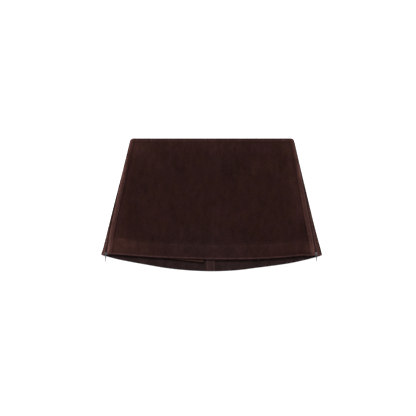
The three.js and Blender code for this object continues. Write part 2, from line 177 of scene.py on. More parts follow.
# How far each hem hangs below its corners, from -1 at the left side to 1 at the right.
front_hem = [(-1, 0), (-0.965, -0.4), (-0.91, -1.7), (-0.81, -0.2), (-0.65, 3.2), (-0.42, 6.7),
             (-0.14, 9.1), (0.02, 10.2), (0.2, 10.4), (0.4, 9.5), (0.55, 7.5), (0.7, 4.6), (0.82, 1.5),
             (0.88, 1.9), (1, 0.6)]
back_hem = [(-1, 0), (-0.93, 5), (-0.85, 10.4), (-0.72, 17.1), (-0.58, 23.6), (-0.42, 30.6), (-0.25, 35.5),
            (-0.08, 38), (0.08, 38.1), (0.25, 35.5), (0.42, 30), (0.58, 24.7), (0.72, 19.2), (0.85, 12),
            (0.93, 6.6), (1, 1.1)]
hem_zone = 45  # the lowest part of each panel, which keeps its hem's whole dip

# How the layers lie: the drop from the waist, and how many layers are under the front's centre there.
lie = [(0, 3), (14, 3), (50, 2), (length - 80, 2), (length - 40, 3.2), (length - 24, 4.8)]
folds = [(length - 34, 2.55), (length - 8, 3.3)]  # the side folds' radius
shoulder = 70  # how far in from a side fold the front comes down to the layers under it
# How far the side folds stray to the right of a straight line, at each drop.
strays = {-1: [(0, 0.3), (130, 0.2), (226, 0), (256, -0.3), (length, -1.5)],
          1: [(0, 0), (70, -0.4), (130, -0.7), (200, -0.4), (240, 0.8), (262, 1.3), (length, 1.3)]}
# How far each zip lies in front of its side fold, at each drop.
zips = {-1: [(0, -1.2), (63, 0.2), (132, 2.2), (179, 3.7), (226, 6.2), (261, 10.6), (length + 4, 11.9)],
        1: [(0, -1.2), (63, 1), (132, 4), (179, 7.2), (226, 10), (261, 13.5), (length + 4, 14.6)]}
stray_fade = 6  # how steeply the straying fades in from the side folds

# The creases that the front and the back keep: x, the drops where each starts and ends, its lean, its
# width and its height. Those of the back are hollows in the side that lies on the table.
front_creases = [
    (178, 14, 160, 0.12, 13, 0.8),
    (-166, 10, 70, -0.1, 12, 0.6),
    (-60, 60, 190, 0.0, 30, 0.5),
    (84, 40, 215, 0.04, 26, 0.5),
    (-205, 120, 226, -0.22, 9, 0.35),
    (210, 150, 236, 0.2, 8, 0.4),
    (-118, 20, 62, 0.3, 10, 0.3),
    (24, 8, 44, -0.15, 14, 0.25),
    (128, 176, 232, 0.35, 11, 0.35),
    (-30, 186, 234, -0.4, 12, 0.3),
    (-150, 196, 235, 0.5, 10, 0.3),
]
back_creases = [
    (-120, 48, 168, 0.1, 12, 0.75),
    (64, 70, 200, -0.06, 22, 0.6),
    (150, 52, 140, 0.2, 10, 0.7),
    (-40, 90, 214, 0.15, 16, 0.5),
    (-176, 110, 212, -0.3, 11, 0.6),
    (196, 130, 214, 0.25, 9, 0.5),
]
crease_wander = 3  # how far a crease strays from its line


def smooth(t):
    s = np.clip(t, 0, 1)
    return s * s * (3 - 2 * s)


def eased(table, at):
    """A table's value, eased from row to row and level past its ends."""
    places, values = np.array(table, float).T
    row = np.clip(np.searchsorted(places, at, side="right"), 1, len(places) - 1)
    share = smooth((at - places[row - 1]) / (places[row] - places[row - 1]))
    return values[row - 1] + share * (values[row] - values[row - 1])


def flowing(table, at):
    """A table's value, on one flowing curve through its rows."""
    places, values = np.array(table, float).T
    at = np.clip(at, places[0], places[-1])
    last = len(places) - 1
    row = np.clip(np.searchsorted(places, at, side="left"), 1, last)
    ahead, behind = np.minimum(row + 1, last), np.maximum(row - 2, 0)
    before = (values[row] - values[behind]) / (places[row] - places[behind])
    after = (values[ahead] - values[row - 1]) / (places[ahead] - places[row - 1])
    span = places[row] - places[row - 1]
    t = (at - places[row - 1]) / span
    level = (2 * t**3 - 3 * t**2 + 1) * values[row - 1] + (3 * t**2 - 2 * t**3) * values[row]
    return level + span * ((t**3 - 2 * t**2 + t) * before + (t**3 - t**2) * after)


def half_width(drop):
    """Half the flat skirt's width at each drop, drawn in at the waist's corners."""
    level = np.clip(drop, 0, length)
    straight = (waist_width + (hem_width - waist_width) * level / length) / 2
    into_corner = np.clip(1 - level / corner_height, 0, 1)
    return straight - corner_width * (1 - np.sqrt(1 - into_corner**2))


def fold_radius(drop):
    return eased(folds, drop)


def flat_half(drop):
    """How far out the flat cloth reaches before it turns into the side fold."""
    return half_width(drop) - suede_thickness / 2 - fold_radius(drop)


def crease_height(creases, x, drop):
    """How high the creases lift the cloth."""
    height = np.zeros(np.broadcast(x, drop).shape)
    for centre, start, end, lean, width, rise in creases:
        along = np.clip((drop - start) / (end - start), 0, 1)
        line = centre + lean * (drop - (start + end) / 2) + crease_wander * np.sin(along * 4 + centre)
        height += rise * np.sin(np.pi * along) ** 2 * np.exp(-(((x - line) / width) ** 2))
    return height


def on_tube(around, drop, inset):
    """A place on the skirt, which laid flat is a flattened tube of suede with its front on its back.

    around is the distance along the cloth from the front centre, drop the distance down from the waist
    fold, and inset the distance in from the middle of the cloth's thickness."""
    around, drop, inset = np.broadcast_arrays(*(np.asarray(v, float) for v in (around, drop, inset)))
    flat, radius = flat_half(drop), fold_radius(drop)
    side = np.where(around < 0, -1, 1)
    past = np.abs(around) - flat
    angle = np.pi / 2 - np.clip(past / radius, 0, np.pi)
    front, fold = past <= 0, (past > 0) & (past < np.pi * radius)
    x = np.where(front, flat + past, flat - (past - np.pi * radius))
    x = np.where(fold, flat + (radius - inset) * np.cos(angle), x)
    centre = suede_thickness / 2 + layer * eased(lie, drop)
    rise = smooth(1 - (flat - x) / shoulder)
    top = centre + rise * (suede_thickness / 2 + 2 * radius - centre)
    top = top + (1 - rise) * crease_height(front_creases, side * x, drop)
    under = suede_thickness / 2 + inset + (1 - rise) * crease_height(back_creases, side * x, drop)
    z = np.where(front, top - inset, under)
    z = np.where(fold, suede_thickness / 2 + radius + (radius - inset) * np.sin(angle), z)
    share = np.where(front, 1, np.where(fold, (1 + np.sin(angle)) / 2, 0))
    across = side * x / half_width(drop)
    back_line, front_line = flowing(back_hem, across), flowing(front_hem, across)
    dip = (back_line + share * (front_line - back_line)) * np.clip(drop / (length - hem_zone), 0, 1)
    sway = waist_sway * np.clip(1 - drop / length, 0, 1)
    stray = np.where(side < 0, flowing(strays[-1], drop), flowing(strays[1], drop))
    stray = stray * np.abs(across) ** stray_fade
    return np.stack([side * x + sway + stray, waist_y - drop - dip, z], axis=-1)


def zip_around(side, drop):
    """How far round the cloth a zip's middle lies from the front centre."""
    return flat_half(drop) + np.pi / 2 * fold_radius(drop) - flowing(zips[side], drop)


class Tone:
    """A node's output that reads as a number, so that masks are written as plain sums."""

    def __init__(self, finish, socket):
        self.finish, self.socket = finish, socket

    def maths(self, operation, first, second=0.0):
        made = self.finish.node("ShaderNodeMath", {"operation": operation}, {0: first, 1: second})
        return Tone(self.finish, made.outputs[0])

    def __add__(self, other):
        return self.maths("ADD", self, other)

    def __sub__(self, other):
        return self.maths("SUBTRACT", self, other)

    def __rsub__(self, other):
        return self.maths("SUBTRACT", other, self)

    def __mul__(self, other):
        return self.maths("MULTIPLY", self, other)

    def __abs__(self):
        return self.maths("ABSOLUTE", self)

    __radd__ = __add__
    __rmul__ = __mul__

    def eased(self, low, high):
        """0 below low and 1 above high, or the other way round where low is the larger."""
        ends = {"Value": self, "From Min": low, "From Max": high}
        made = self.finish.node("ShaderNodeMapRange", {"interpolation_type": "SMOOTHSTEP"}, ends)
        return Tone(self.finish, made.outputs["Result"])

    def line(self, centre, half):
        """1 on a line where the number is centre, fading to 0 at half away on both sides."""
        return abs(self - centre).eased(half, 0)


class Tree:
    """A tree of nodes, which one method adds to."""

    def node(self, kind, settings=None, sockets=None):
        made = self.tree.nodes.new(kind)
        for name, value in (settings or {}).items():
            setattr(made, name, value)
        for key, value in (sockets or {}).items():
            same = [s for s in made.inputs if key in (s.identifier, s.name)]
            socket = made.inputs[key] if isinstance(key, int) else same[0]
            value = value.socket if isinstance(value, Tone) else value
            if isinstance(value, bpy.types.NodeSocket):
                self.tree.links.new(value, socket)
            else:
                socket.default_value = value
        return made


class Finish(Tree):
    """A material and its nodes."""

    def __init__(self, name, colour, roughness, constants=None):
        self.material = bpy.data.materials.new(name)
        self.material.use_nodes = True
        self.material.diffuse_color = (*colour, 1)
        self.tree = self.material.node_tree
        self.tree.nodes.clear()
        known = {"Base Color": (*colour, 1), "Roughness": roughness}
        known.update(constants or {})
        self.shader = self.node("ShaderNodeBsdfPrincipled", {}, known)
        self.node("ShaderNodeOutputMaterial", {}, {"Surface": Tone(self, self.shader.outputs[0])})
        self.place = Tone(self, self.node("ShaderNodeTexCoord").outputs["Object"])

    def noise(self, size, detail=2, roughness=0.5, place=None):
        """Cloudy noise from 0 to 1 whose lumps are about size millimetres across."""
        scale = 1 / (size * MM)
        sockets = {"Vector": place or self.place, "Scale": scale, "Detail": detail, "Roughness": roughness}
        return Tone(self, self.node("ShaderNodeTexNoise", {}, sockets).outputs[0])

    def stretched(self, scale):
        """The object's own coordinates, scaled along each axis."""
        made = self.node("ShaderNodeVectorMath", {"operation": "MULTIPLY"}, {0: self.place, 1: scale})
        return Tone(self, made.outputs[0])

    def attribute(self, name):
        return Tone(self, self.node("ShaderNodeAttribute", {"attribute_name": name}).outputs["Fac"])

    def mixed(self, first, second, share):
        """A mix of two colours, each an output or three numbers."""
        first, second = ((*c, 1) if isinstance(c, tuple) else c for c in (first, second))
        sockets = {"Factor_Float": share, "A_Color": first, "B_Color": second}
        made = self.node("ShaderNodeMix", {"data_type": "RGBA"}, sockets)
        return Tone(self, next(s for s in made.outputs if s.identifier == "Result_Color"))

    def lit(self, colour, amount):
        """A colour scaled by a number."""
        made = self.node("ShaderNodeVectorMath", {"operation": "SCALE"}, {"Vector": colour, "Scale": amount})
        return Tone(self, made.outputs[0])

    def wear(self, colour=None, roughness=None, height=None, depth=0.1):
        """Feeds the shader. height is a relief from 0 to 1, and depth its size in millimetres."""
        for name, value in (("Base Color", colour), ("Roughness", roughness)):
            if value is not None:
                self.tree.links.new(value.socket, self.shader.inputs[name])
        if height is not None:
            sockets = {"Height": height, "Distance": depth * MM, "Strength": 1.0}
            bump = self.node("ShaderNodeBump", {}, sockets)
            self.tree.links.new(bump.outputs[0], self.shader.inputs["Normal"])
        return self.material


suede_brown = (0.0185, 0.0066, 0.0056)
suede_olive = (0.0184, 0.0072, 0.005)
suede_plum = (0.0182, 0.0065, 0.0068)
# The tint of the paler areas, where wear and painted highlight lighten the nap.
suede_worn_and_lit = (0.0185, 0.0076, 0.0067)
suede_dusty = (0.0185, 0.0082, 0.0086)
# Painted shade: the inner side and the turned-in allowances are painted greyer and cooler, as the shade inside the
# skirt.
suede_inner_shade_grey = (0.0208, 0.0106, 0.0108)
soft_shine = {
    "Sheen Weight": 0.3, "Sheen Roughness": 0.3, "Sheen Tint": (0.55, 0.33, 0.28, 1),
    "Specular IOR Level": 0.04}


def napped(suede, lightness, worn_and_lit_share, dusty, inner):
    """Gives a finish the suede's nap, tinted where wear and painted highlight make it paler, tinted where it is dusty,
    and painted greyer on the inner side as the shade inside the skirt.
    """
    clouds = suede.noise(60, detail=3, roughness=0.55)
    strokes = suede.noise(15, detail=3, roughness=0.6, place=suede.stretched((1.3, 0.6, 1)))
    mottle = suede.noise(3.6, detail=2, roughness=0.6)
    nap = suede.noise(0.6, detail=3, roughness=0.8)
    uneven = clouds * 0.6 + strokes * 0.95 + mottle * 0.95 + nap * 0.3 - 1.4
    hue = suede.noise(24, detail=5, roughness=0.75).eased(0.34, 0.66)
    tint = suede.mixed(suede_olive, suede_plum, hue)
    for colour, share in ((suede_worn_and_lit, worn_and_lit_share), (suede_dusty, dusty), (suede_inner_shade_grey, inner)):
        tint = suede.mixed(tint, colour, share)
    amount = (1 + uneven * (1 + inner * 0.3)) * lightness
    return suede.wear(suede.lit(tint, amount), 0.88 + clouds * 0.08, nap * 0.8 + mottle * 0.2, depth=0.28)


zip_band = 12  # the doubled edge beside each zip
zip_stitch = 8  # how far in each row of stitches runs
hem_stitch = hem_depth - 2
waist_stitch = 8
suede = Finish("suede", suede_brown, 0.92, soft_shine)
inner, from_zip, from_hem, from_waist, stroked, dusty = (
    suede.attribute(n) for n in ("inner", "from_zip", "from_hem", "from_waist", "stroked", "dusty"))
patchy = 0.3 + suede.noise(9, detail=4, roughness=0.7) * 1.4
# The nap is painted paler on the doubled edges by the zips, on the hem's band and fold, and at the waist: partly wear,
# and partly painted highlight where these edges and folds catch the light.
zip_edge = from_zip.eased(2.6, 0.6)
wear_and_painted_light = from_zip.eased(10.4, 8.6) * 0.75 + from_zip.eased(10, 0) * 0.7 + zip_edge * 0.5
wear_and_painted_light = wear_and_painted_light * (0.25 + from_waist.eased(25, 110) * 0.75) + zip_edge * 0.6
# Painted shadow: a dark line where each zip band's ledge steps down to the cloth.
wear_and_painted_light = wear_and_painted_light + from_zip.eased(40, zip_band) * 0.12 - from_zip.line(zip_band, 1.8) * 0.4
hem_band = from_hem.eased(hem_depth + 0.6, hem_depth - 1)
hem_fold = from_hem.eased(5.4, 3.4)
# Painted highlight along the hem band's upper edge, and on the hem fold together with its wear.
wear_and_painted_light = wear_and_painted_light + hem_band * 0.21 + hem_fold * 1.5 + from_hem.line(hem_depth - 0.6, 1.6) * 0.1
# Painted highlight: a paler zone below the waist where its facing lifts the cloth to the light, and a pale band just
# below the waist fold.
wear_and_painted_light = wear_and_painted_light + from_waist.eased(42, 22) * 0.15 + from_waist.eased(8.8, 7.4) * from_waist.eased(2, 4) * 0.5
# Painted shade: a dark line just below the waist's stitching.
wear_and_painted_light = wear_and_painted_light - from_waist.line(waist_stitch + 2, 1.6) * 0.2
lightness = 1 + wear_and_painted_light * patchy * inner.eased(0.5, 0) + stroked
suede_nap = napped(suede, lightness, wear_and_painted_light * 0.9, dusty + hem_fold * 0.7, inner)

band_rise = 0.7
band_slope = 1.5
hem_rise = 0.25
zip_press, hem_press, waist_press = 0.4, 0.32, 0.3  # how deep each row of stitches is pressed in
hem_pucker, zip_pucker = 0.13, 0.1  # how high the cloth puckers beside the stitches
pucker_off, pucker_reach = 3, 5  # how far from the stitches the puckers are, and how far they spread
allowance_start = 8.6  # how far from the zip the turned waist and hem begin
cloth_edge = math.radians(50)  # a sharper turn than this shows as an edge
fine_step = 0.6  # between rows or columns where the cloth is doubled or stitched
wall_step = 3.2  # between rows on the plain cloth
hem_step = 2.6  # between rows on the hem's band
fold_margin = 2  # what the wear's distances from the waist and the hem are where the folds begin
far_off = 200  # stands on the inner face for a place that no edge's wear reaches
inner_from, inner_over = 1.6, 1.5  # the turn past which the inner side's tone comes in, and how slowly
zip_slot = 3.6
slider_slot = 5
slider_slot_from, slider_slot_to = 20, 9  # how far above the hem the slot begins to part, and has parted


def half_slot(drop):
    """Half the gap between the front and back panels' edges along a zip."""
    parted = smooth((slider_slot_from - (length - drop)) / (slider_slot_from - slider_slot_to))
    return (zip_slot + parted * (slider_slot - zip_slot)) / 2


def fold_rows(start, turns):
    return [(start + turn_radius * np.sin(t), turn_radius * (1 - np.cos(t)), t, False) for t in turns]


def panel_rows():
    """Each row's drop, inset, turn and whether it lies inside, from the waist's raw edge to the hem's."""
    turns = np.linspace(0, 1, 8)[1:-1]
    hem_line = length - hem_stitch
    wall = np.concatenate([
        np.linspace(0, 12, 17), np.arange(14.5, hem_line - 7, wall_step),
        np.arange(hem_line - 6, hem_line + 5, fine_step), np.arange(hem_line + 6.5, length - 9, hem_step),
        np.linspace(length - 8, length, 9)])
    rows = [(drop, layer, -np.pi, True) for drop in np.linspace(waist_depth, 0, 5)[:-1]]
    rows.append((0, layer, -np.pi, False))
    rows += fold_rows(0, -np.pi * (1 - turns)) + [(drop, 0, 0, False) for drop in wall]
    rows += fold_rows(length, np.pi * turns)
    rows += [(drop, layer, np.pi, True) for drop in np.linspace(length, length - hem_depth, 12)]
    return np.array(rows, float)


def turned_under(around, drop):
    """0 on the front and the outer half of a side fold, growing to 1 where the fold meets the back."""
    past = np.abs(around) - flat_half(drop)
    return smooth((past / fold_radius(drop) - np.pi / 2) / (np.pi / 2))


def groove(distance, width):
    return np.exp(-((distance / width) ** 2))


def relief(around, drop, from_zip, turn):
    """How far the outer face stands proud: doubled bands, pressed stitch lines, and puckers beside them."""
    underneath = turned_under(around, drop)
    up = length - drop
    on_band = smooth((zip_band - from_zip) / band_slope) * (0.5 + 0.5 * smooth(from_zip / band_slope))
    on_hem = smooth((hem_depth + 1 - up) / band_slope) * (np.abs(around) < flat_half(drop))
    raised = (band_rise * on_band + hem_rise * on_hem * (1 - on_band)) * (1 - underneath)
    pressed = zip_press * groove(from_zip - zip_stitch, 0.8)
    pressed = pressed + hem_press * groove(up - hem_stitch, 1) + waist_press * groove(drop - waist_stitch, 1)
    wave = np.sin(around * 0.83 + 2 * np.sin(around * 0.071)) * np.sin(around * 0.23 + 1)
    beside = groove(up - hem_stitch - pucker_off, pucker_reach)
    beside = beside + groove(drop - waist_stitch - pucker_off, pucker_reach)
    pucker = hem_pucker * wave * beside
    along = np.sin(drop * 0.9 + 2 * np.sin(drop * 0.083)) * np.sin(drop * 0.29)
    pucker = pucker + zip_pucker * along * groove(from_zip - zip_stitch - pucker_off, pucker_reach)
    return (turn == 0) * (raised - pressed + pucker * (1 - underneath))


def put(name, data):
    """A new object in the scene, at the origin."""
    made = bpy.data.objects.new(name, data)
    bpy.context.collection.objects.link(made)
    return made


def shell(name, material, outer, under, present=None, **measures):
    """A thin closed sheet between two grids of points, with a number at each point for each measure."""
    rows, columns = outer.shape[:2]
    count = rows * columns
    index = np.arange(count).reshape(rows, columns)
    cell = np.ones((rows - 1, columns - 1), bool) if present is None else present
    a, b, e, f = index[:-1, :-1], index[1:, :-1], index[1:, 1:], index[:-1, 1:]
    near = np.pad(cell, 1)
    quads = [np.stack([a, b, e, f], -1)[cell], np.stack([f, e, b, a], -1)[cell] + count]
    rims = [(b, a, near[1:-1, :-2]), (e, b, near[2:, 1:-1]), (f, e, near[1:-1, 2:]), (a, f, near[:-2, 1:-1])]
    for start, end, neighbour in rims:
        quads.append(np.stack([start, end, end + count, start + count], -1)[cell & ~neighbour])
    used, faces = np.unique(np.concatenate(quads), return_inverse=True)
    points = np.concatenate([outer.reshape(-1, 3), under.reshape(-1, 3)])[used] * MM
    mesh = bpy.data.meshes.new(name)
    mesh.from_pydata(points, [], faces.reshape(-1, 4))
    for measure, values in measures.items():
        both = np.concatenate([np.broadcast_to(v, (rows, columns)).ravel() for v in values])
        mesh.attributes.new(measure, "FLOAT", "POINT").data.foreach_set("value", both[used].astype("f"))
    mesh.shade_smooth()
    mesh.set_sharp_from_angle(angle=cloth_edge)
    mesh.materials.append(material)
    return put(name, mesh)


def patched(patches, around, drop):
    """The sum of soft patches: around, drop, half width, half height, lean and strength."""
    total = np.zeros(np.broadcast(around, drop).shape)
    for place, down, wide, tall, lean, strength in patches:
        across = around - place - lean * (drop - down)
        total += strength * np.exp(-((across / wide) ** 2) - ((drop - down) / tall) ** 2)
    return total


streak_fade = 14  # how long a streak's ends are


def streaked(streaks, around, drop, from_zip):
    """The sum of streaks along the zips: side, distance in, half width, first and last drop, strength."""
    total = np.zeros(from_zip.shape)
    for side, inwards, half, first, last, strength in streaks:
        ends = smooth((drop - first) / streak_fade) * smooth((last - drop) / streak_fade)
        broken = 1 + 0.35 * np.sin(drop * 0.21 + inwards) * np.sin(drop * 0.077 + side)
        total += (side * around > 0) * strength * ends * broken * groove(from_zip - inwards, half)
    return total


def panel(name, columns_at, dip, patches, streaks, dust):
    """A panel's sheet, and its cut. columns_at gives a drop's distances around and from the zip's edge."""
    rows = panel_rows()
    drop, inset, turn, inside = (rows[:, [i]] for i in range(4))
    columns = [columns_at(d) for d in drop[:, 0]]
    around, from_zip = (np.array([c[i] for c in columns]) for i in range(2))
    faces = []
    for off in (suede_thickness / 2 + relief(around, drop, from_zip, turn), -suede_thickness / 2):
        faces.append(on_tube(around, drop + off * np.sin(turn), inset - off * np.cos(turn)))
    clear = from_zip >= allowance_start - 1e-6
    present = ~(inside[:-1] > 0) & ~((inside[1:] > 0) & (turn[1:] < 0)) | (clear[:-1, :-1] & clear[:-1, 1:])
    turned = smooth((np.abs(turn) - inner_from) / inner_over)
    from_hem = np.where(turn > 0, fold_margin - turn * turn_radius, length - drop + fold_margin)
    from_waist = np.where(turn < 0, 0, drop + fold_margin)
    # Painted highlights and shade join the nap's tone here, on the outer face only.
    stroked = patched(patches, around, drop) + streaked(streaks, around, drop, from_zip)
    made = shell(name, suede_nap, *faces, present=present, inner=(turned, 1), from_zip=(from_zip, from_zip),
                 from_hem=(from_hem, far_off), from_waist=(from_waist, far_off), stroked=(stroked, 0),
                 dusty=(patched(dust, around, drop), 0))
    widths, steps = np.ptp(around, axis=1), np.hypot(*np.diff(rows[:, :2], axis=0).T)
    area = (widths[1:] + widths[:-1]) / 2 @ steps + 2 / 3 * dip * widths.max()
    return made, {"flat": (widths.max() * MM, (steps.sum() + dip) * MM), "area": area * MM * MM}


front_fine = 14.9  # how far in from each zip the front's columns lie close
front_middle = 152  # how many cross the rest


def front_columns(drop):
    """A row's distances round the cloth from the front centre, and in from the nearer zip's edge."""
    near = np.sort(np.append(np.arange(0, front_fine, fine_step), allowance_start))
    left, right = -(zip_around(-1, drop) - half_slot(drop)), zip_around(1, drop) - half_slot(drop)
    middle = np.linspace(left + near[-1], right - near[-1], front_middle)[1:-1]
    around = np.concatenate([left + near, middle, right - near[::-1]])
    return around, np.minimum(around - left, right - around)


# Where the nap's tone changes as it lies one way or the other, with painted highlights and shade among them: at the
# zips' ends beside the sliders, on the hem band and hem fold, and along creases. x, drop, half width, half height,
# lean and change in tone.
front_tone_and_light_patches = [
    (-170, 18, 22, 30, 0.3, 0.4),
    (-136, 26, 10, 26, 0.1, 0.18),
    (8, 22, 16, 22, 0.0, 0.26),
    (-22, 16, 12, 12, 0.4, 0.16),
    (186, 20, 14, 22, 0.2, 0.4),
    (190, 84, 12, 46, 0.22, 0.3),
    (206, 160, 20, 34, 0.2, 0.26),
    (106, 60, 10, 60, -0.5, 0.14),
    (150, 60, 12, 44, 0.3, 0.12),
    (-60, 100, 70, 60, 0.0, -0.06),
    (34, 76, 18, 22, 0.2, -0.22),
    (92, 214, 34, 16, 0.3, -0.18),
    (84, 196, 26, 34, 0.0, -0.08),
    (186, 124, 13, 64, 0.18, 0.12),
    (62, 176, 16, 14, -0.6, 0.14),
    (134, 172, 9, 12, 0.0, 0.16),
    (-226, 200, 26, 44, -0.2, 0.16),
    (-205, 253, 44, 16, 0.0, 0.92),
    (-212, 237, 17, 2.6, 0.0, 0.7),
    (-242, 260, 4.5, 7, 0.0, 3.4),
    (-120, 250, 20, 8, 0.0, 0.12),
    (-82, 254, 9, 7, 0.0, 0.26),
    (62, 252, 8, 8, 0.0, 0.24),
    (210, 254, 24, 10, 0.0, 0.2),
    (238, 261, 6, 7, 0.0, 1.4),
    (196, 269, 42, 6, 0.0, -0.45),
    (228, 261, 9, 8, 0.0, 0.35),
]
# Light streaks along the zips, painted highlights where the doubled edges catch the light, together with their wear:
# side, distance in from the slot, half width, first and last drop, strength.
front_streaks = [
    (-1, 0.8, 1.5, 60, 290, 2.4),
    (-1, 4.3, 1.2, 100, 262, 1.2),
    (-1, 9.2, 1.4, 150, 262, 0.7),
    (-1, 3, 2.6, -20, 100, 2.2),
    (1, 1.0, 1.4, 60, 290, 1.1),
    (1, 8.6, 1.3, 84, 262, 1.1),
    (1, 3, 2.6, -20, 100, 1.8),
]
# Where the suede looks dusty and cooler: x, drop, half width, half height, lean and strength.
front_dust = [
    (-14, 250, 105, 24, 0.0, 0.85),
    (-36, 214, 66, 18, 0.0, 0.4),
    (20, 54, 22, 16, 0.0, 0.5),
]
front_dip = max(dip for _, dip in front_hem)
front_panel, front_cut = panel(
    "front_panel_cloth", front_columns, front_dip, front_tone_and_light_patches, front_streaks, front_dust)
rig.replaces(front_panel, "front_panel")
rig.ride(front_panel, "skirt")
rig.slot(front_panel, "suede")
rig.sheet(front_panel, held="laid", rests_on=["back_panel_left", "back_panel_right"], **front_cut)


# Back panels
# Two pieces of suede, which wrap round the side folds to the zips on the front and meet at the centre back
# seam. They lie flat on the table, and their hems and waists are turned in as the front's are.
centre_back = -2.5
seam_overlap = 0.03  # the stitched edges press together, so that no light passes
back_fine = 20.4  # how far in from each zip the back's columns lie close
back_middle = 72  # how many cross the rest of each panel


def back_around(side, x, drop):
    """How far round the cloth a place on the back lies that is seen at x."""
    return 2 * flat_half(drop) + np.pi * fold_radius(drop) - side * x


def back_columns(side, drop):
    """A row's distances round the cloth from the front centre, and in from the zip's edge."""
    near = np.sort(np.append(np.arange(0, back_fine, fine_step), allowance_start))
    edge = zip_around(side, drop) + half_slot(drop)
    seam = back_around(side, centre_back - side * seam_overlap, drop)
    around = side * np.concatenate([edge + near, np.linspace(edge + near[-1], seam, back_middle)[1:]])
    from_zip = np.abs(around) - edge
    return (around, from_zip) if side > 0 else (around[::-1], from_zip[::-1])


# The back's strokes, painted highlight streaks and dust, in the front's columns. A strength below 0 is darker.
back_strokes = [
    (60, 60, 30, 50, 0.2, 0.14),
    (150, 90, 40, 30, -0.3, -0.12),
    (-70, 150, 26, 60, 0.1, -0.14),
    (-160, 60, 24, 40, 0.3, 0.16),
    (110, 190, 30, 24, 0.4, 0.14),
    (-120, 230, 40, 14, 0.0, 0.16),
]
back_streaks = [
    (-1, 1.2, 1.8, 190, 290, 1.2),
    (-1, 6, 1.4, 215, 290, 1.0),
    (1, 1.2, 1.4, 130, 290, 0.5),
    (1, 6.5, 1.6, 150, 290, 0.7),
    (1, 5, 5, 90, 290, -0.35),
]
back_dust = [
    (-60, 236, 70, 30, 0.0, 0.5),
    (80, 120, 50, 40, 0.0, 0.35),
]
labels = {-1: "left", 1: "right"}
back_dip = max(dip for _, dip in back_hem)
for side, label in labels.items():
    def columns_at(drop):
        return back_columns(side, drop)
    patches, dust = ([(side * back_around(side, x, down), down, *rest) for x, down, *rest in table]
                     for table in (back_strokes, back_dust))
    back_panel, back_cut = panel(
        f"back_panel_{label}_cloth", columns_at, back_dip, patches, back_streaks, dust)
    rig.replaces(back_panel, f"back_panel_{label}")
    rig.ride(back_panel, "skirt")
    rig.slot(back_panel, "suede")
    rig.sheet(back_panel, held="laid", rests_on=["table"], **back_cut)


# Centre back seam
# The two edges of the back seam, opened flat on the inside and carried down over the turned-up hem. They show the
# suede's inner side, lighter than the cloth round them, with a line pressed into each; a painted highlight runs along
# a ridge on each, and painted shade lies along the pressed line and where the edges meet.
seam_allowance = 11
seam_top = waist_depth + 2
over_hem = length - hem_depth - 7  # where the allowances begin to climb onto the turned-up hem
climb = 6  # how far they take to climb it
ragged_edge, raggedness = 2, 0.25  # how near its raw edge an allowance is uneven, and by how much
seam_shine = Finish("suede_seam_allowance", suede_brown, 0.92, soft_shine)
from_seam = seam_shine.attribute("from_seam")
# Painted highlight along a ridge 7.6 mm out and near the raw edge, and painted shade along the pressed line at 4.6 mm.
ridge_highlights_and_shade = from_seam.line(7.6, 1.5) * 0.6 + from_seam.eased(9.8, 10.8) * 0.2 - from_seam.line(4.6, 2) * 0.12
# Painted shade darkens the first millimetre beside the seam.
seam_nap = napped(seam_shine, 1.7 + ridge_highlights_and_shade - from_seam.eased(1, 0) * 0.3, 0.3, 0.45, 0.6)

for side, label in labels.items():
    drops = np.concatenate([np.linspace(seam_top, over_hem, 60), np.linspace(over_hem + 1, length + 1, 34)])
    climbed = smooth((drops - over_hem) / climb)
    inset = (layer * (1 + climbed))[:, None]
    across = np.linspace(-seam_overlap, seam_allowance, 14)[::-side]
    ragged = raggedness * np.sin(drops * 0.31) * np.sin(drops * 0.083 + side)
    across = across[None, :] + ragged[:, None] * (across[None, :] > seam_allowance - ragged_edge)
    around = side * back_around(side, centre_back + side * across, drops[:, None])
    faces = [on_tube(around, drops[:, None], inset + half * suede_thickness / 2) for half in (-1, 1)]
    strip = shell(f"back_seam_{label}_cloth", seam_nap, *faces, from_seam=(across, across))
    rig.replaces(strip, f"back_seam_{label}")
    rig.ride(strip, "skirt")
    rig.slot(strip, "suede_inside")
    seam_flat = (seam_allowance * MM, np.ptp(drops) * MM)
    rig.sheet(strip, flat=seam_flat, held="laid", rests_on=[f"back_panel_{label}"])


# Lining
# A thin smooth lining hangs a little below the front hem beside the back seam. Its own hem is a narrow
# turn, a little thicker than the rest, and its free edge stands off the back.
lining_left, lining_right = -140, -19
lining_top = -108
lining_low = [-122, -129.6, -135.6]  # its lower edge at the left, in the middle and at the right
lining_shows = 14
lining_thickness = 0.4
lining_z = 3.35
lining_lift = 2.4  # how far the lining's free edge stands off the back
lift_reach = 6.5  # how far up from its edge the lining lifts
lining_hem, lining_hem_rise = 5, 0.2  # its own hem's depth, and how much higher that lies
lining_end, lining_end_rise = 9, 0.8  # how near the seam its end begins to rise, and how far it does
lining_brown = (0.03, 0.0118, 0.0072)
satin = Finish("lining_satin", lining_brown, 0.6, {"Specular IOR Level": 0.06})
slub = satin.noise(1.1, detail=2)
fall = satin.noise(18, detail=2)
# Painted shade: the lowest 1.4 mm of the lining is darker, as on the shaded underside of its rolled hem.
painted_edge_shade = satin.attribute("from_edge").eased(1.4, 0.2)
satin_brown = satin.lit(lining_brown, (0.6 + fall * 0.5 + slub * 0.3) * (1 - painted_edge_shade * 0.6))
satin_weave = satin.wear(satin_brown, 0.6 + fall * 0.14, slub, depth=0.05)

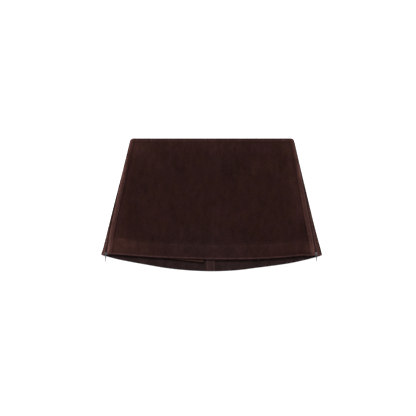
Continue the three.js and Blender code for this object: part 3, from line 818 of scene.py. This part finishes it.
share = np.linspace(0, 1, 90)
lower = (1 - share) * (1 - 2 * share) * lining_low[0] + 4 * share * (1 - share) * lining_low[1]
lower = lower + share * (2 * share - 1) * lining_low[2]
steps_up = [14, 12.6, 11.2, 9.8, 8.4, 7, 5.6, 5, 4.6, 4.2, 3, 1.8, 1, 0.75, 0.5, 0.25, 0]
up = np.array(steps_up)[:, None]
x = lining_left + share * (lining_right - lining_left)
y = lower + up * (lining_top - lower).clip(None, lining_shows) / lining_shows
lift = lining_lift * smooth(1 - up / lift_reach) * smooth(share / 0.4)
ripple = 0.12 * np.sin(x * 0.19) + 0.08 * np.sin(x * 0.47 + 1)
fold = lining_hem_rise * smooth((lining_hem - up) / 0.6)
fold = fold + lining_end_rise * smooth((x - lining_right + lining_end) / 8)
grid = np.stack([np.broadcast_to(x, y.shape), y, lining_z + lift + ripple + fold], -1)
half = np.array([0, 0, lining_thickness / 2])
lining = shell("lining_edge_cloth", satin_weave, grid + half, grid - half, from_edge=(up, 0))
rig.replaces(lining, "lining_edge")
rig.ride(lining, "skirt")
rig.slot(lining, "lining")
lining_flat = ((lining_right - lining_left) * MM, lining_shows * MM)
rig.sheet(lining, flat=lining_flat, held="laid", rests_on=["back_panel_left"])


# Zip tapes
# A woven polyester tape under each slot, sewn behind the two edges, dark brown with a fine rib across it.
tape_width = 20
tape_thickness = 1
tape_inset = suede_thickness / 2 + air + tape_thickness / 2
tape_top = 3
tape_end = 3
tape_brown = (0.019, 0.0082, 0.0072)
tape = Finish("zip_tape_weave", tape_brown, 0.9, {"Specular IOR Level": 0.05})
ribs = Tone(tape, tape.node("ShaderNodeTexWave", {"wave_type": "BANDS", "bands_direction": "Y"}, {
    "Vector": tape.place, "Scale": 900.0, "Distortion": 0.6, "Detail": 1.0}).outputs[0])
tape_weave = tape.wear(tape.lit(tape_brown, 0.75 + ribs * 0.5), height=ribs, depth=0.12)

for side, label in labels.items():
    drops = np.linspace(tape_top, length - tape_end, 120)[:, None]
    around = side * zip_around(side, drops) + np.linspace(-tape_width / 2, tape_width / 2, 33)[None, :]
    faces = [on_tube(around, drops, tape_inset + off * tape_thickness / 2) for off in (-1, 1)]
    zip_tape = shell(f"zip_tape_{label}_cloth", tape_weave, *faces)
    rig.replaces(zip_tape, f"zip_tape_{label}")
    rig.ride(zip_tape, "skirt")
    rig.slot(zip_tape, "zip_tape")
    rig.sheet(zip_tape, flat=(tape_width * MM, np.ptp(drops) * MM), held="laid",
             rests_on=["front_panel", f"back_panel_{label}"])


# Zip teeth
# Two rows of dark moulded teeth, set alternately along the middle of each tape and locked together.
tooth_pitch = 1.5
tooth_block = 2.3  # the side of the block that is rounded, and then scaled by the three sizes
tooth_width, tooth_length, tooth_height = 0.95, 0.42, 0.6
row_points = 150
row_apart = 0.45  # how far each row lies from the zip's middle
chain_crown = 0.8
chain_height = 1.4
chain_top, chain_end = 5, 1.2
resin = Finish("zip_teeth_resin", (0.034, 0.0164, 0.0145), 0.5, {"Specular IOR Level": 0.12})


class Growth(Tree):
    """A tree of Geometry Nodes that sets one small shape along lines, with named sizes."""

    def __init__(self, name, sizes):
        self.tree = bpy.data.node_groups.new(name, "GeometryNodeTree")
        self.sockets = {}
        face = self.tree.interface
        face.new_socket("Geometry", in_out="INPUT", socket_type="NodeSocketGeometry")
        kinds = {"Pitch": "Float", **sizes, "Wander": "Float", "Seed": "Int", "Material": "Material"}
        for size, kind in kinds.items():
            made = face.new_socket(size, in_out="INPUT", socket_type=f"NodeSocket{kind}")
            self.sockets[size] = made.identifier
        face.new_socket("Geometry", in_out="OUTPUT", socket_type="NodeSocketGeometry")
        self.given = self.node("NodeGroupInput").outputs

    def along_lines(self, shape, across, along, up):
        """Sets shape at every pitch along the input's lines, scaled by three of the tree's sizes."""
        given = self.given
        curve = self.node("GeometryNodeMeshToCurve", {}, {"Mesh": given["Geometry"]}).outputs[0]
        even = self.node("GeometryNodeResampleCurve", {"mode": "LENGTH"}, {
            "Curve": curve, "Length": given["Pitch"]})
        points = self.node("GeometryNodeCurveToPoints", {"mode": "EVALUATED"}, {"Curve": even.outputs[0]})
        off = self.node("GeometryNodeInputNamedAttribute", {"data_type": "FLOAT_VECTOR"}, {"Name": "off"})
        axes = {"primary_axis": "Z", "secondary_axis": "Y"}
        upright = self.node("FunctionNodeAxesToRotation", axes, {
            0: off.outputs[0], 1: points.outputs["Tangent"]})
        stray = self.node("FunctionNodeRandomValue", {"data_type": "FLOAT"}, {"Seed": given["Seed"]})
        stray.inputs[2].default_value, stray.inputs[3].default_value = -1, 1
        lean = self.node("ShaderNodeMath", {"operation": "MULTIPLY"}, {
            0: stray.outputs[1], 1: given["Wander"]})
        turn = self.node("ShaderNodeCombineXYZ", {}, {"Z": lean.outputs[0]})
        leaning = self.node("FunctionNodeEulerToRotation", {}, {0: turn.outputs[0]})
        turned = self.node("FunctionNodeRotateRotation", {"rotation_space": "LOCAL"}, {
            0: upright.outputs[0], 1: leaning.outputs[0]})
        scale = self.node("ShaderNodeCombineXYZ", {}, {
            "X": given[across], "Y": given[along], "Z": given[up]})
        rounded = self.node("GeometryNodeSetShadeSmooth", {}, {"Geometry": shape})
        placed = self.node("GeometryNodeInstanceOnPoints", {}, {
            "Points": points.outputs["Points"], "Instance": rounded.outputs[0],
            "Rotation": turned.outputs[0], "Scale": scale.outputs[0]})
        real = self.node("GeometryNodeRealizeInstances", {}, {"Geometry": placed.outputs[0]})
        finished = self.node("GeometryNodeSetMaterial", {}, {
            "Geometry": real.outputs[0], "Material": given["Material"]})
        self.node("NodeGroupOutput", {}, {"Geometry": finished.outputs[0]})

    def grown(self, name, lines, sizes):
        """The tree run along lines, each a pair of points and directions off the cloth, as a plain mesh."""
        points = np.concatenate([line for line, _ in lines]) * MM
        ends = np.cumsum([len(line) for line, _ in lines])
        edges = [(i, i + 1) for i in range(len(points) - 1) if i + 1 not in ends]
        mesh = bpy.data.meshes.new(name)
        mesh.from_pydata(points, edges, [])
        off = np.concatenate([direction for _, direction in lines]).astype("f")
        mesh.attributes.new("off", "FLOAT_VECTOR", "POINT").data.foreach_set("vector", off.ravel())
        made = put(name, mesh)
        modifier = made.modifiers.new("growth", "NODES")
        modifier.node_group = self.tree
        for size, value in sizes.items():
            modifier[self.sockets[size]] = value
        evaluated = made.evaluated_get(bpy.context.evaluated_depsgraph_get())
        plain = bpy.data.meshes.new_from_object(evaluated)
        made.modifiers.remove(modifier)
        made.data = plain
        return made


def cloth_line(around, drop, above):
    """Points along the cloth at a height above its middle, and the directions off it."""
    points = on_tube(around, drop, -above)
    off = on_tube(around, drop, -1) - on_tube(around, drop, 0)
    return points, off / np.linalg.norm(off, axis=-1, keepdims=True)


tooth_sizes = {"Tooth width": "Float", "Tooth length": "Float", "Tooth height": "Float"}
tooth_growth = Growth("zip_teeth_along_tape", tooth_sizes)
block = tooth_growth.node("GeometryNodeMeshCube", {}, {"Size": (tooth_block,) * 3})
tooth = tooth_growth.node("GeometryNodeSubdivisionSurface", {}, {
    "Mesh": block.outputs[0], "Level": 1, "Edge Crease": 0.35})
tooth_growth.along_lines(tooth.outputs[0], "Tooth width", "Tooth length", "Tooth height")

for side, label in labels.items():
    rows = []
    for half in (-1, 1):
        offset = (half + 1) * tooth_pitch / 4
        drops = np.linspace(chain_top + offset, length - chain_end - tooth_pitch / 2 + offset, row_points)
        around = side * zip_around(side, drops) + half * row_apart
        rows.append(cloth_line(around, drops, chain_crown - chain_height / 2))
    teeth = tooth_growth.grown(f"zip_teeth_{label}_rows", rows, {
        "Pitch": tooth_pitch * MM, "Tooth width": tooth_width * MM, "Tooth length": tooth_length * MM,
        "Tooth height": tooth_height * MM, "Wander": 0.03, "Seed": 3 + side, "Material": resin.material})
    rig.replaces(teeth, f"zip_teeth_{label}")
    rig.ride(teeth, "skirt")
    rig.slot(teeth, "zip_teeth")


# Stitching
# Rows of fine polyester thread: along the hem and the waist, and down both edges of each zip. Each stitch
# is pressed a little into the nap.
stitch_pitch = 3.2
stitch_length = 2.5
thread = 0.45
stitch_above = suede_thickness / 2 - 0.2
zip_stitch_sunk = 0.22  # how much deeper the stitches beside the zips are pressed in
across_points, down_points = 260, 220  # how many points carry each row of stitches
thread_finish = Finish("sewing_thread", (0.026, 0.012, 0.0105), 0.7, {"Specular IOR Level": 0.1})
thread_ply = thread_finish.wear(height=thread_finish.noise(0.25), depth=0.05)
stitch_growth = Growth("stitches_along_seam", {"Stitch length": "Float", "Thread": "Float"})
bead = stitch_growth.node("GeometryNodeMeshUVSphere", {}, {"Segments": 6, "Rings": 5, "Radius": 0.5})
stitch_growth.along_lines(bead.outputs[0], "Thread", "Stitch length", "Thread")

seams = []
for drop, rise in ((length - hem_stitch, hem_rise), (waist_stitch, 0)):
    edges = {side: zip_around(side, drop) for side in labels}
    reach = half_slot(drop) + zip_stitch
    around = np.linspace(reach - edges[-1], edges[1] - reach, across_points)
    seams.append(cloth_line(around, np.full(across_points, drop), stitch_above + rise))
    for side in labels:
        seam = back_around(side, centre_back + side, drop)
        around = side * np.linspace(edges[side] + reach, seam, across_points)
        seams.append(cloth_line(around, np.full(across_points, drop), stitch_above))
for side in labels:
    for way in (-1, 1):
        drops = np.linspace(2, length - 1.5, down_points)
        around = side * (zip_around(side, drops) + way * (half_slot(drops) + zip_stitch))
        above = stitch_above - zip_stitch_sunk + band_rise * (1 - turned_under(around, drops))
        seams.append(cloth_line(around, drops, above))
stitches = stitch_growth.grown("seam_stitches", seams, {
    "Pitch": stitch_pitch * MM, "Stitch length": stitch_length * MM, "Thread": thread * MM, "Wander": 0.07,
    "Seed": 11, "Material": thread_ply})
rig.ride(stitches, "skirt")
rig.slot(stitches, "suede")


# Zip sliders
# Cast metal sliders, nickel plated: two plates joined by a neck at the nose, with side flanges over the
# teeth and a bridge on top that holds the pull tab. Each has closed its zip and stands at the hem.
slider_half = 2.7
slider_drop = length - 3  # how far down the slider's middle lies
plate = 0.9
plate_corner = 1.6
plate_end = 9  # its length from the nose
flange_in, flange_low, flange_high = 2.1, 2.8, 6.3
flange_drop, flange_height = 1.1, 1.3  # how far it starts under the top plate, and its height
neck_lap = 0.2  # how far the neck runs into each plate
bridge_half, bridge_thickness = 0.6, 0.75
casting_rounding = 0.16
metal_edge = math.radians(35)  # a sharper turn than this is rounded
metal_crease = math.radians(40)  # a sharper turn than this still shows as an edge
top_plate = chain_crown + air
low_plate = -(tape_inset + tape_thickness / 2 + air) - plate
pivot_up, pivot_off = 1.65, top_plate + plate + 1.45  # the bridge's pin, from the nose and off the cloth
nickel = (0.2, 0.184, 0.188)
nickel_plate = Finish("zip_nickel", nickel, 0.25, {"Metallic": 1.0})
scuffs = nickel_plate.noise(1.6, detail=3, roughness=0.7)
zip_metal = nickel_plate.wear(
    nickel_plate.lit(nickel, scuffs * 1.6), 0.2 + scuffs * 0.3, scuffs, depth=0.03)


def slider_frame(side, label):
    """A slider's own frame at its nose: X across the zip, Y up it and Z off the cloth."""
    swing = next(joint for joint in frame["joints"] if joint["name"] == f"pull_{label}_swing")
    across = -Vector(swing["axis"]).normalized()
    _, off = cloth_line(side * zip_around(side, slider_drop), slider_drop, 0)
    along = Vector(off.tolist()).cross(across).normalized()
    turn = Matrix((across, along, across.cross(along))).transposed().to_4x4()
    pin = Matrix.Translation(Vector(swing["pos_m"]) / MM)
    return pin @ turn @ Matrix.Translation((0, -pivot_up, -pivot_off))


def thicken(form, faces, thickness):
    """Raises flat faces of a bmesh into a slab."""
    lifted = bmesh.ops.extrude_face_region(form, geom=faces)["geom"]
    for vert in (v for v in lifted if isinstance(v, bmesh.types.BMVert)):
        vert.co.z += thickness


def slab(form, outline, bottom, thickness):
    """A flat slab with that outline, seen from above, added to a bmesh."""
    face = form.faces.new([form.verts.new((x, y, bottom)) for x, y in outline])
    thicken(form, [face], thickness)


def bent(form, path, half, thickness):
    """A flat bar bent along a path in the plane of Y and Z, added to a bmesh."""
    rings = []
    for i, (y, z) in enumerate(path):
        before, after = Vector(path[max(i - 1, 0)]), Vector(path[min(i + 1, len(path) - 1)])
        along = (after - before).normalized()
        rise = Vector((-along.y, along.x)) * thickness / 2
        corners = ((-half, -1), (half, -1), (half, 1), (-half, 1))
        rings.append([form.verts.new((x, y + s * rise.x, z + s * rise.y)) for x, s in corners])
    for first, second in zip(rings, rings[1:]):
        for i in range(4):
            form.faces.new((first[i], first[(i + 1) % 4], second[(i + 1) % 4], second[i]))
    form.faces.new(rings[0])
    form.faces.new(rings[-1])


def cast(name, form, place, bevel, material):
    """A metal casting from a bmesh in millimetres, its edges rounded, put in its place on the skirt."""
    bmesh.ops.recalc_face_normals(form, faces=form.faces)
    sharp = [e for e in form.edges if e.is_manifold and e.calc_face_angle(0) > metal_edge]
    bmesh.ops.bevel(
        form, geom=sharp, offset=bevel, segments=3, profile=0.6, affect="EDGES", clamp_overlap=True)
    form.transform(Matrix.Scale(MM, 4) @ place)
    bmesh.ops.recalc_face_normals(form, faces=form.faces)
    mesh = bpy.data.meshes.new(name)
    form.to_mesh(mesh)
    form.free()
    mesh.shade_smooth()
    mesh.set_sharp_from_angle(angle=metal_crease)
    mesh.materials.append(material)
    return put(name, mesh)


def arc(centre, radius, start, end, steps):
    angles = [start + (end - start) * i / steps for i in range(steps + 1)]
    return [(centre[0] + radius * math.cos(a), centre[1] + radius * math.sin(a)) for a in angles]


plate_outline = [(-0.6, 0), (0.6, 0), (1.7, 0.9), (slider_half, 2.8), (slider_half, 6.4)]
corner_x, corner_y = slider_half - plate_corner, plate_end - plate_corner
plate_outline += arc((corner_x, corner_y), plate_corner, 0, math.pi / 2, 5)
plate_outline += arc((-corner_x, corner_y), plate_corner, math.pi / 2, math.pi, 5)
plate_outline += [(-slider_half, 6.4), (-slider_half, 2.8), (-1.7, 0.9)]
bridge_path = [(0.5, 1.7), (0.5, 3.6)] + arc((1.3, 3.85), 0.8, math.pi, math.pi / 2, 4)[1:]
bridge_path += [(2.75, 4.72)] + arc((4.2, 3.85), 0.8, math.pi / 2, 0, 4) + [(5, 1.7)]
neck = [(-0.8, 0.3), (0.8, 0.3), (0.8, 2.8), (-0.8, 2.8)]
slider_frames = {}
for side, label in labels.items():
    slider_frames[label] = slider_frame(side, label)
    form = bmesh.new()
    slab(form, plate_outline, top_plate, plate)
    slab(form, plate_outline, low_plate, plate)
    slab(form, neck, low_plate + plate - neck_lap, top_plate - low_plate - plate + 2 * neck_lap)
    for edge in (-1, 1):
        near, far = sorted((edge * flange_in, edge * slider_half))
        flange = [(near, flange_low), (far, flange_low), (far, flange_high), (near, flange_high)]
        slab(form, flange, top_plate - flange_drop, flange_height)
    bent(form, bridge_path, bridge_half, bridge_thickness)
    slider = cast(f"zip_slider_{label}_casting", form, slider_frames[label], casting_rounding, zip_metal)
    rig.replaces(slider, f"zip_slider_{label}")
    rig.ride(slider, "skirt")
    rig.slot(slider, "zip_metal")


# Pull tabs
# A slim metal tab on each slider, nickel plated, with an eye that loops through the bridge. It hangs past
# the hem and can swing up and over to lie back along the zip.
pull_thickness = 0.8
pull_length = 18.6
tip_clearance = 0.2
tab_half, stem_half, eye_half = 1.5, 0.85, 0.95
tip_radius = 1.1
bar = 0.42  # half the depth of the bar that turns in the bridge
tab_rounding = 0.14
tab_outline = [(tab_half, bar), (tab_half, -5.1), (stem_half, -6.4)]
tab_outline += arc((0, tip_radius - pull_length), tip_radius, 0.3, -math.pi - 0.3, 10)
tab_outline += [(-stem_half, -6.4), (-tab_half, -5.1), (-tab_half, bar)]
eye_outline = [(eye_half, -bar), (eye_half, -3.6), (0.6, -4.3)]
eye_outline += [(-0.6, -4.3), (-eye_half, -3.6), (-eye_half, -bar)]

for label, place in slider_frames.items():
    pivot = place @ Matrix.Translation((0, pivot_up, pivot_off))
    fall = pivot.translation.z - pull_thickness / 2 - tip_clearance
    hang = pivot @ Matrix.Rotation(math.asin(fall / pull_length), 4, "X")
    form = bmesh.new()
    edges = []
    for outline in (tab_outline, eye_outline):
        ring = [form.verts.new((x, y, -pull_thickness / 2)) for x, y in outline]
        edges += [form.edges.new((ring[i - 1], ring[i])) for i in range(len(ring))]
    bmesh.ops.triangle_fill(form, edges=edges, use_beauty=True)
    thicken(form, form.faces[:], pull_thickness)
    pull = cast(f"zip_pull_{label}_tab", form, hang, tab_rounding, zip_metal)
    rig.replaces(pull, f"zip_pull_{label}")
    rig.ride(pull, f"pull_{label}")
    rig.slot(pull, "zip_metal")


# Table, light and camera
# The skirt lies on a white table under soft studio light from the waist's side, seen from straight above.
table_width = 40
table_gap = 0.0003
bpy.ops.mesh.primitive_plane_add(size=table_width, location=(0, 0, -table_gap))
table = bpy.context.object
table.name = "table"
paper = Finish("table_paper", (0.86, 0.86, 0.86), 0.9, {
    "Specular IOR Level": 0.1, "Emission Color": (1, 1, 1, 1), "Emission Strength": 0.7})
table.data.materials.append(paper.material)
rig.stage(table)


def soft_light(name, place, size, power):
    light = bpy.data.lights.new(name, "AREA")
    light.shape, light.size, light.energy = "DISK", size, power
    lamp = put(name, light)
    lamp.location = place
    lamp.rotation_euler = (-Vector(place)).to_track_quat("-Z", "Y").to_euler()


soft_light("key_light", (-1.2, 2.2, 1.95), size=1.1, power=124)
soft_light("fill_light", (1.6, 0.6, 2.4), size=2.2, power=18)
studio = bpy.data.worlds.new("studio")
studio.use_nodes = True
nodes, links = studio.node_tree.nodes, studio.node_tree.links
seen, lights = nodes["Background"], nodes.new("ShaderNodeBackground")
for background, strength in ((seen, 1), (lights, 0.33)):
    background.inputs["Color"].default_value = (1, 1, 1, 1)
    background.inputs["Strength"].default_value = strength
ray, choice = nodes.new("ShaderNodeLightPath"), nodes.new("ShaderNodeMixShader")
links.new(ray.outputs["Is Camera Ray"], choice.inputs[0])
links.new(lights.outputs[0], choice.inputs[1])
links.new(seen.outputs[0], choice.inputs[2])
links.new(choice.outputs[0], nodes["World Output"].inputs[0])
bpy.context.scene.world = studio
bpy.context.scene.view_settings.view_transform = "Standard"

camera_data = bpy.data.cameras.new("camera")
camera_data.lens = 85
camera_data.clip_end = 100
camera = put("camera", camera_data)
camera.location = (-0.0083, -0.0082, 2.308)
bpy.context.scene.camera = camera

with open("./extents.json", "w") as sizes:
    json.dump({"cad": [list(p) for p in cad_box], "visual": [list(p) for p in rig.bounds()]}, sizes)
